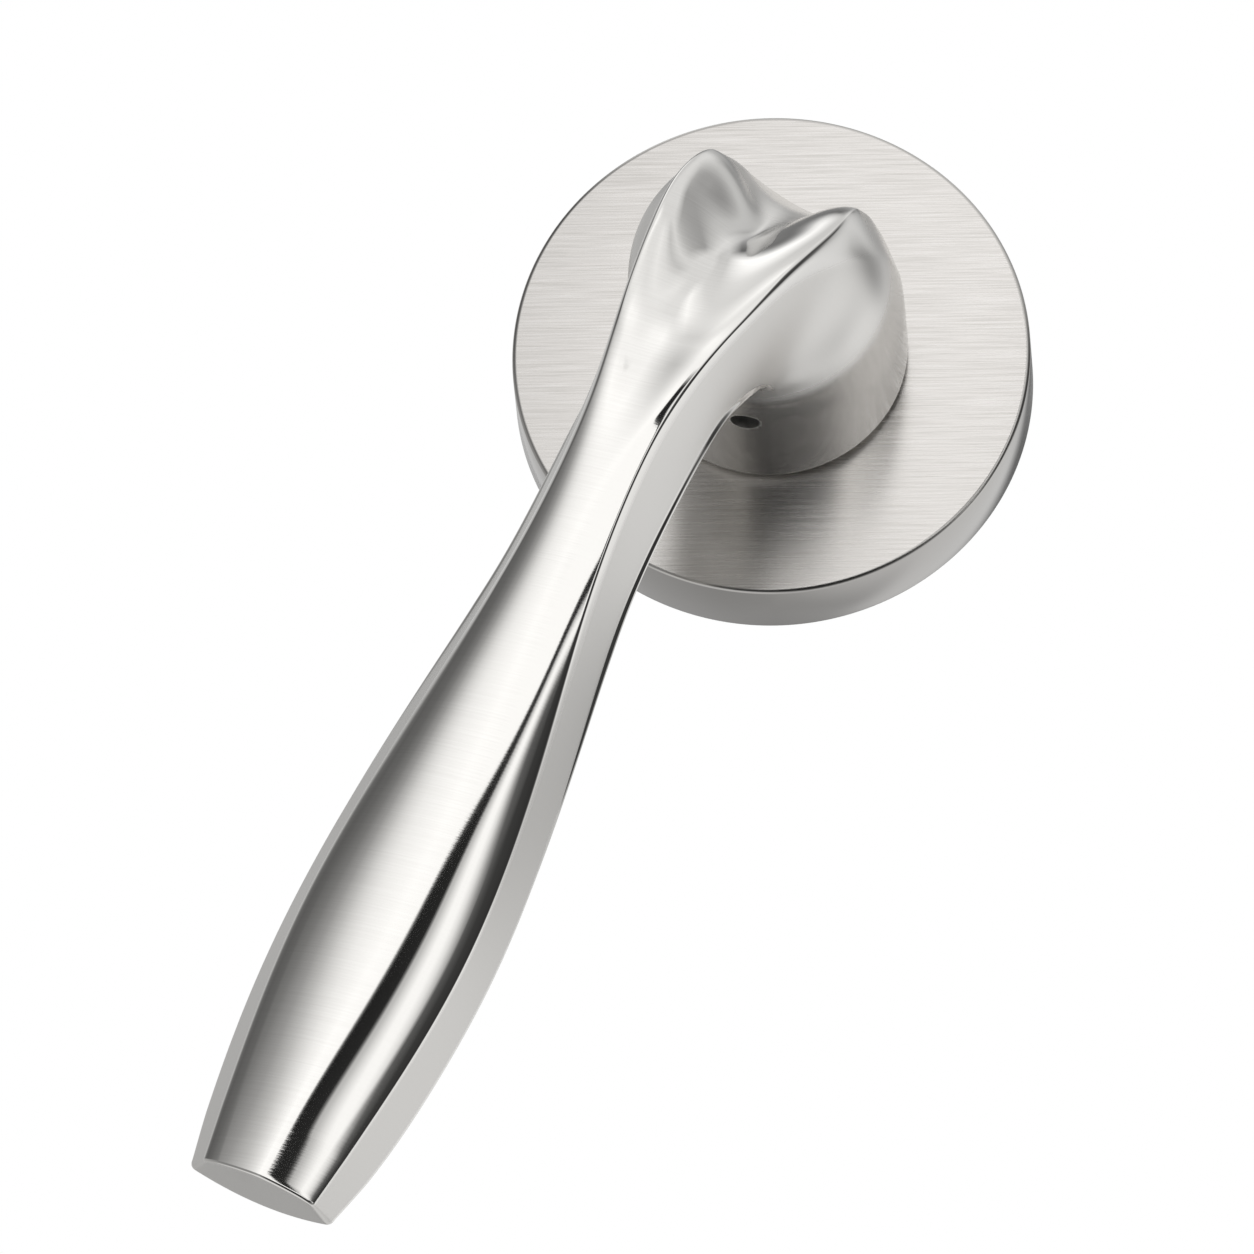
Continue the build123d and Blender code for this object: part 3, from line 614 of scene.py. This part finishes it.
# %% [markdown]
# ### Brushing
# An abrasive belt leaves long fine lines. On the rose they run at 65 degrees to the arm, and on the arm
# almost straight across it. Real lines lie a few hundredths of a millimetre apart; these are drawn 0.17 mm
# apart so that they show. Noise that is stretched about 50 times along the brushing gives them.

# %% Brush lines
ROSE_BRUSH = math.radians(65)
ARM_BRUSH = math.radians(81)
LINE_LENGTH = 9 * MM
LINE_GAP = 0.17 * MM
LINE_DEPTH = 0.05 * MM


def brush_lines(tree, coordinates, angle):
    """Noise that is long along the brushing, fine across it and even in depth."""
    turned = add_node(tree, "ShaderNodeMapping", {"Rotation": (0, -angle, 0)},
                      {"Vector": coordinates.outputs["Object"]})
    scale = (1 / LINE_LENGTH, 1 / LINE_LENGTH, 1 / LINE_GAP)
    stretched = add_node(tree, "ShaderNodeMapping", {"Scale": scale}, {"Vector": turned.outputs["Vector"]})
    return add_node(tree, "ShaderNodeTexNoise", {"Scale": 1.0, "Detail": 4.0, "Roughness": 0.6},
                    {"Vector": stretched.outputs["Vector"]}).outputs["Fac"]


# %% [markdown]
# ### Nickel on the lever
# Polished nickel mirrors its surroundings; satin nickel spreads them out. The number painted as polish
# is turned into roughness by a map range, and the one painted as brush says how far the lines show. Two
# materials with a border between them would be simpler, but a wheel leaves no such border.

# %% Nickel, polished and satin
NICKEL = "#DCDBD8"
NICKEL_DARK = "#CFCDCA"
SATIN_ROUGH = 0.33
POLISHED_ROUGH = 0.02
LINE_ROUGH = 0.06
LINE_BUMP = 0.05
NO_LINES = 0.5


def nickel_lever():
    """Nickel plate on the casting: crisp mirror images on the front, a soft even sheen on the flanks."""
    material, tree, output = new_material("nickel_polished_and_satin")
    coordinates = add_node(tree, "ShaderNodeTexCoord")
    polish_value = add_node(tree, "ShaderNodeAttribute", {"attribute_name": "polish"})
    brush_value = add_node(tree, "ShaderNodeAttribute", {"attribute_name": "brush"})
    across_arm = brush_lines(tree, coordinates, ARM_BRUSH)
    brushed = add_node(tree, "ShaderNodeMix", {"data_type": "FLOAT", 2: NO_LINES},
                       {0: brush_value.outputs["Fac"], 3: across_arm}).outputs[0]
    colour = add_node(tree, "ShaderNodeMix",
                      {"data_type": "RGBA", 6: linear(NICKEL_DARK), 7: linear(NICKEL)}, {0: brushed})
    roughness = add_node(tree, "ShaderNodeMapRange", {"To Min": SATIN_ROUGH, "To Max": POLISHED_ROUGH},
                         {"Value": polish_value.outputs["Fac"]})
    uneven = add_node(tree, "ShaderNodeMath", {"operation": "MULTIPLY_ADD", 1: LINE_ROUGH},
                      {0: brushed, 2: roughness.outputs["Result"]})
    bump = add_node(tree, "ShaderNodeBump", {"Strength": LINE_BUMP, "Distance": LINE_DEPTH},
                    {"Height": brushed})
    shader = add_node(tree, "ShaderNodeBsdfPrincipled", {"Metallic": 1.0},
                      {"Base Color": colour.outputs[2], "Roughness": uneven.outputs["Value"],
                       "Normal": bump.outputs["Normal"]})
    tree.links.new(shader.outputs["BSDF"], output.inputs["Surface"])
    return material


# %% [markdown]
# ### Nickel on the rose
# Only the flat face shows the brush lines, which draw a highlight out across themselves, so its shader
# is anisotropic along one fixed direction. The rim was turned and is smoother; its colour is painted a
# little greyer than the face as shade, and its edge keeps a crisp bright and dark line. A number painted
# on the face keeps the lines off the rim.

# %% Nickel, line-brushed
RIM_ROUGH = 0.16
# Painted shade: the rim's colour is a darker grey than the face, so that the rim looks darker
RIM_PAINTED_SHADE = "#B1AFAC"
ROSE_PALE = "#DFDCD9"
ROSE_DARK = "#BDBAB6"
LINE_CONTRAST = (0.3, 0.7)
FACE_ROUGH = (0.18, 0.34)
FACE_BUMP = 0.12
FACE_STREAK = 0.9


def nickel_brushed():
    """Nickel plate on the rose: pale and dark hairlines with a streaked sheen, and a smooth rim painted
    greyer as shade.
    """
    material, tree, output = new_material("nickel_line_brushed")
    coordinates = add_node(tree, "ShaderNodeTexCoord")
    face = add_node(tree, "ShaderNodeAttribute", {"attribute_name": "face"})
    brushed = brush_lines(tree, coordinates, ROSE_BRUSH)
    contrast = add_node(tree, "ShaderNodeMapRange",
                        {"From Min": LINE_CONTRAST[0], "From Max": LINE_CONTRAST[1]}, {"Value": brushed})
    lined = add_node(tree, "ShaderNodeMix",
                     {"data_type": "RGBA", 6: linear(ROSE_DARK), 7: linear(ROSE_PALE)},
                     {0: contrast.outputs["Result"]})
    # The rim takes the grey of painted shade, the face takes the brush lines
    colour = add_node(tree, "ShaderNodeMix", {"data_type": "RGBA", 6: linear(RIM_PAINTED_SHADE)},
                      {0: face.outputs["Fac"], 7: lined.outputs[2]})
    scratched = add_node(tree, "ShaderNodeMapRange", {"To Min": FACE_ROUGH[0], "To Max": FACE_ROUGH[1]},
                         {"Value": brushed})
    roughness = add_node(tree, "ShaderNodeMix", {"data_type": "FLOAT", 2: RIM_ROUGH},
                         {0: face.outputs["Fac"], 3: scratched.outputs["Result"]})
    depth = add_node(tree, "ShaderNodeMapRange", {"To Min": 0.0, "To Max": FACE_BUMP},
                     {"Value": face.outputs["Fac"]})
    bump = add_node(tree, "ShaderNodeBump", {"Distance": LINE_DEPTH},
                    {"Strength": depth.outputs["Result"], "Height": brushed})
    across = add_node(tree, "ShaderNodeCombineXYZ", {"X": math.sin(ROSE_BRUSH), "Z": math.cos(ROSE_BRUSH)})
    shader = add_node(tree, "ShaderNodeBsdfPrincipled", {"Metallic": 1.0, "Anisotropic": FACE_STREAK},
                      {"Base Color": colour.outputs[2], "Roughness": roughness.outputs[0],
                       "Normal": bump.outputs["Normal"], "Tangent": across.outputs["Vector"]})
    tree.links.new(shader.outputs["BSDF"], output.inputs["Surface"])
    return material


# %% [markdown]
# ### Inside parts
# The plain metals and plastics differ in colour, gloss and the size of their mottling. One function
# serves them all, because a noise of the right grain is enough for pieces that are mostly hidden. The
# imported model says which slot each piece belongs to.

# %% Inside finishes
MOTTLE_DEPTH = 0.1 * MM


def mottled(name, dark, light, grain_mm, metallic, rough, depth):
    """A finish whose colour, roughness and fine bumps all follow one noise of the given grain."""
    material, tree, output = new_material(name)
    coordinates = add_node(tree, "ShaderNodeTexCoord")
    grain = add_node(tree, "ShaderNodeTexNoise", {"Scale": 1 / (grain_mm * MM), "Detail": 4.0},
                     {"Vector": coordinates.outputs["Object"]})
    colour = add_node(tree, "ShaderNodeMix", {"data_type": "RGBA", 6: linear(dark), 7: linear(light)},
                      {0: grain.outputs["Fac"]})
    roughness = add_node(tree, "ShaderNodeMapRange", {"To Min": rough[0], "To Max": rough[1]},
                         {"Value": grain.outputs["Fac"]})
    bump = add_node(tree, "ShaderNodeBump", {"Strength": depth, "Distance": MOTTLE_DEPTH},
                    {"Height": grain.outputs["Fac"]})
    shader = add_node(tree, "ShaderNodeBsdfPrincipled", {"Metallic": metallic},
                      {"Base Color": colour.outputs[2], "Roughness": roughness.outputs["Result"],
                       "Normal": bump.outputs["Normal"]})
    tree.links.new(shader.outputs["BSDF"], output.inputs["Surface"])
    return material


finishes = {
    # Bluish and bright, with faint crystals that break up the gloss
    "zinc_plated_steel": mottled("zinc_plate_bright", "#B4B8BC", "#CFD2D3", 1.2, 1.0, (0.22, 0.42), 0.10),
    # Nearly black, with a dull sheen of metal
    "blackened_steel": mottled("steel_blackened", "#18181A", "#2A2A2C", 0.5, 1.0, (0.35, 0.5), 0.1),
    # Plain grey, a little cloudy from the rolling
    "pressed_steel": mottled("steel_pressed", "#8F9194", "#A9ABAD", 0.8, 1.0, (0.28, 0.45), 0.12),
    # Dark grey and glossier, from the drawing die
    "spring_steel": mottled("steel_spring", "#5E6064", "#77797D", 0.4, 1.0, (0.25, 0.4), 0.1),
    # Dull and cloudy in large patches, as the metal froze in the die
    "zinc_casting": mottled("zinc_die_cast", "#85888C", "#9C9FA2", 2.5, 1.0, (0.4, 0.6), 0.25),
    # Black and dull, with the fine texture of a spark-eroded mould
    "black_nylon": mottled("nylon_black", "#141415", "#1E1E20", 0.25, 0.0, (0.5, 0.65), 0.15),
    # Milky white with a waxy gloss
    "white_acetal": mottled("acetal_white", "#DEDDD8", "#E8E7E3", 0.3, 0.0, (0.3, 0.42), 0.08),
    # Black and matt
    "rubber": mottled("rubber_nitrile", "#121212", "#1C1C1C", 0.4, 0.0, (0.6, 0.75), 0.15),
}
slots = {row["node"]: row["material_slot"] for row in frame["record"]["subparts"]}
for node_name, node_object in frame["nodes"].items():
    finish = finishes.get(slots[node_name])
    if finish:
        node_object.data.materials.clear()
        node_object.data.materials.append(finish)
print("finishes:", len(finishes))

# %% [markdown]
# ## Pieces take their places
# The casting and the pressing stand in for the plain solids of the lever and the cover. Each rides on the
# body of the piece that it replaces, so the lever turns with its spindle and the cover stays on the door.

# %% Pieces take their places
for piece, material, body, node_name in (
    (lever, nickel_lever(), "lever", "lever"),
    (cover, nickel_brushed(), "rose", "rose_cover"),
):
    piece.data.materials.clear()
    piece.data.materials.append(material)
    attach(piece, body)
    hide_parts(node_name)
    print(piece.name, "rides on", body)

# %% [markdown]
# ## Studio light
# A mirror shows the studio, so the studio is the light. White and black cards could stand round the
# handle as lit objects, but a world that gives each direction its brightness is easier to tune and casts
# no hard shadow. A list of cards goes once round the arm: white in front and above, a dark gap low in
# front, a white table below, and dark edges between them. The lists follow each other along the arm.

# %% Cards round the arm
BRIGHTEST = 1.7
# Cards as angle about the arm in degrees, 0 straight out of the door and 90 up, and brightness there
TIP_CARDS = (
    (-180, 0.45), (-165, 0.5), (-150, 0.9), (-115, 0.9), (-100, 0.4), (-60, 0.05), (-20, 0.03), (-5, 0.08),
    (10, 0.4), (50, 0.3), (90, 0.5), (150, 0.6), (180, 0.45),
)
ARM_CARDS = (
    (-180, 0.15), (-175, 0.35), (-169, 0.85), (-150, 0.95), (-140, 1.05), (-102, 1.2), (-97, 0.25),
    (-91, 0.04), (-60, 0.06), (-48, 0.15), (-44, 0.45), (-38, 1.1), (-33, 1.42), (-27, 1.42), (-22, 1.05),
    (-18.5, 0.75), (-16.6, 0.72), (-15, 0.03), (-3, 0.02), (-1.4, 1.45), (8, 1.5), (20, 1.25), (28, 1.0),
    (36, 0.72), (46, 0.45), (58, 0.27), (70, 0.18), (84, 0.15), (100, 0.2), (125, 0.6), (160, 0.7),
    (180, 0.15),
)
BEND_CARDS = (
    (-180, 0.1), (-173, 0.5), (-155, 0.85), (-140, 0.6), (-128, 0.2), (-112, 0.06), (-60, 0.08), (-45, 0.5),
    (-25, 1.0), (-10, 1.35), (10, 1.35), (26, 1.0), (40, 0.6), (55, 0.12), (100, 0.12), (115, 0.3),
    (145, 0.2), (155, 0.25), (165, 0.4), (180, 0.1),
)
SHOULDER_CARDS = (
    (-180, 0.5), (-168, 0.3), (-160, 0.65), (-150, 0.8), (-142, 0.5), (-134, 0.1), (-65, 0.1), (-45, 0.5),
    (-20, 1.1), (0, 1.4), (15, 1.45), (26, 1.2), (45, 0.95), (70, 0.95), (100, 1.2), (115, 1.45),
    (135, 1.45), (142, 0.8), (148, 0.15), (156, 0.3), (168, 0.6), (180, 0.5),
)
END_CARDS = (
    (-180, 1.0), (-165, 0.88), (-150, 0.7), (-138, 0.48), (-128, 0.5), (-110, 0.58), (-95, 0.7), (-75, 1.0),
    (-56, 0.8), (-40, 1.05), (-20, 1.2), (0, 1.1), (20, 1.1), (40, 1.45), (55, 1.25), (75, 1.0), (110, 0.9),
    (130, 0.85), (155, 0.82), (168, 0.95), (180, 1.0),
)
POLE_CARDS = ((-180, 1.0), (180, 1.0))
print("cards along the arm:", sum(map(len, (TIP_CARDS, ARM_CARDS, BEND_CARDS, SHOULDER_CARDS, END_CARDS))))

# %% [markdown]
# ### Directions in the studio
# The angle about the arm is the arctangent of the way up over the way out of the door. Where the grip
# narrows, the dark gap of the photograph leans over to the ridge, so the angle is lifted there, in front
# only and never past straight out.

# %% Angle about the arm
DARK_SLANT = math.radians(50)
SLANT_RANGE = (0.02, 0.24)
FRONT_RANGE = (math.radians(-105), math.radians(-75))
world = bpy.data.worlds.new("studio")
bpy.context.scene.world = world
world.use_nodes = True
tree = world.node_tree
tree.nodes.clear()
direction = add_node(tree, "ShaderNodeTexCoord")
parts = add_node(tree, "ShaderNodeSeparateXYZ", None, {"Vector": direction.outputs["Generated"]})
along_arm, into_door, up_door = (parts.outputs[axis] for axis in "XYZ")
outward = add_node(tree, "ShaderNodeMath", {"operation": "MULTIPLY", 1: -1.0}, {0: into_door})
pitch = add_node(tree, "ShaderNodeMath", {"operation": "ARCTAN2"}, {0: up_door, 1: outward.outputs[0]})
slant = add_node(tree, "ShaderNodeMapRange",
                 {"interpolation_type": "SMOOTHSTEP", "From Min": SLANT_RANGE[0], "From Max": SLANT_RANGE[1],
                  "To Min": DARK_SLANT, "To Max": 0.0}, {"Value": along_arm})
front_only = add_node(tree, "ShaderNodeMapRange", {"From Min": FRONT_RANGE[0], "From Max": FRONT_RANGE[1]},
                      {"Value": pitch.outputs[0]})
lifted = add_node(tree, "ShaderNodeMath", {"operation": "MULTIPLY_ADD"},
                  {0: slant.outputs["Result"], 1: front_only.outputs["Result"], 2: pitch.outputs[0]})
capped = add_node(tree, "ShaderNodeMath", {"operation": "MINIMUM", 1: 0.0}, {0: lifted.outputs[0]})
leaned = add_node(tree, "ShaderNodeMath", {"operation": "MAXIMUM"},
                  {0: pitch.outputs[0], 1: capped.outputs[0]})
print("direction nodes:", len(tree.nodes))

# %% [markdown]
# ### World of cards
# Each list becomes a colour ramp over the angle, and the ramps are mixed one after the other along the
# arm. The camera itself sees plain white behind the handle. The metal doesn't mirror that white, on
# purpose: polished nickel in an all white room would have no dark lines and look flat.

# %% World of cards
def card_ramp(cards, angle_output):
    """A ramp over an angle about the arm, from the cards' angles and brightness."""
    share = add_node(tree, "ShaderNodeMapRange", {"From Min": -math.pi, "From Max": math.pi},
                     {"Value": angle_output})
    ramp = add_node(tree, "ShaderNodeValToRGB", None, {"Fac": share.outputs["Result"]})
    stops = ramp.color_ramp.elements
    for number, (angle, level) in enumerate(cards):
        stop = stops[number] if number < 2 else stops.new(1.0)
        stop.position = (angle + 180) / 360
        shade = level / BRIGHTEST
        stop.color = (shade, shade, shade, 1)
    return ramp.outputs["Color"]


# Each list takes over from the one before while the direction's part along the arm goes from start to end
seen = card_ramp(POLE_CARDS, pitch.outputs[0])
for cards, angle, start, end in (
    (TIP_CARDS, pitch, -0.95, -0.80),
    (ARM_CARDS, leaned, -0.12, -0.02),
    (BEND_CARDS, leaned, 0.34, 0.48),
    (SHOULDER_CARDS, leaned, 0.54, 0.68),
    (END_CARDS, leaned, 0.74, 0.88),
    (POLE_CARDS, leaned, 0.955, 0.985),
):
    change = add_node(tree, "ShaderNodeMapRange", {"From Min": start, "From Max": end}, {"Value": along_arm})
    seen = add_node(tree, "ShaderNodeMix", {"data_type": "RGBA"},
                    {0: change.outputs["Result"], 6: seen, 7: card_ramp(cards, angle.outputs[0])}).outputs[2]
rays = add_node(tree, "ShaderNodeLightPath")
studio = add_node(tree, "ShaderNodeBackground", {"Strength": BRIGHTEST}, {"Color": seen})
white = add_node(tree, "ShaderNodeBackground", {"Color": (1, 1, 1, 1), "Strength": 1.0})
mixed = add_node(tree, "ShaderNodeMixShader", None,
                 {0: rays.outputs["Is Camera Ray"], 1: studio.outputs[0], 2: white.outputs[0]})
add_node(tree, "ShaderNodeOutputWorld", None, {"Surface": mixed.outputs[0]})
print("world nodes:", len(tree.nodes))

# %% [markdown]
# ## Floor
# A pale floor lies under the handle and takes its faint shadow when the handle is seen from above. For
# the camera it is lifted a little towards the white behind it. The photograph looks up from below, so
# the floor is clear from underneath, and the metal doesn't mirror it.

# %% Floor
# In metres, apart from the lift, which is added brightness
FLOOR_DROP = 0.1
FLOOR_SIZE = 0.6
FLOOR_LIFT = 0.5
FLOOR_PAINT = "#F2F2F2"
floor_mesh = bpy.data.meshes.new("floor")
corners = [(x * FLOOR_SIZE, y * FLOOR_SIZE, -FLOOR_DROP) for x, y in ((-1, -1), (1, -1), (1, 1), (-1, 1))]
floor_mesh.from_pydata(corners, [], [(0, 1, 2, 3)])
floor = bpy.data.objects.new("floor", floor_mesh)
bpy.context.scene.collection.objects.link(floor)
material, tree, output = new_material("floor_pale")
side_seen = add_node(tree, "ShaderNodeNewGeometry")
paint = add_node(tree, "ShaderNodeBsdfDiffuse", {"Color": linear(FLOOR_PAINT)})
rays = add_node(tree, "ShaderNodeLightPath")
lift = add_node(tree, "ShaderNodeMath", {"operation": "MULTIPLY", 1: FLOOR_LIFT},
                {0: rays.outputs["Is Camera Ray"]})
glow = add_node(tree, "ShaderNodeEmission", None, {"Strength": lift.outputs[0]})
lit = add_node(tree, "ShaderNodeAddShader", None, {0: paint.outputs[0], 1: glow.outputs[0]})
clear = add_node(tree, "ShaderNodeBsdfTransparent")
mixed = add_node(tree, "ShaderNodeMixShader", None,
                 {0: side_seen.outputs["Backfacing"], 1: lit.outputs[0], 2: clear.outputs[0]})
tree.links.new(mixed.outputs[0], output.inputs["Surface"])
floor.data.materials.append(material)
floor.visible_glossy = False
print("floor lies", FLOOR_DROP, "m under the spindle's axis")

# %% [markdown]
# ## Colour
# The Standard view shows colours as they are written.

# %% Colour management
bpy.context.scene.view_settings.view_transform = "Standard"
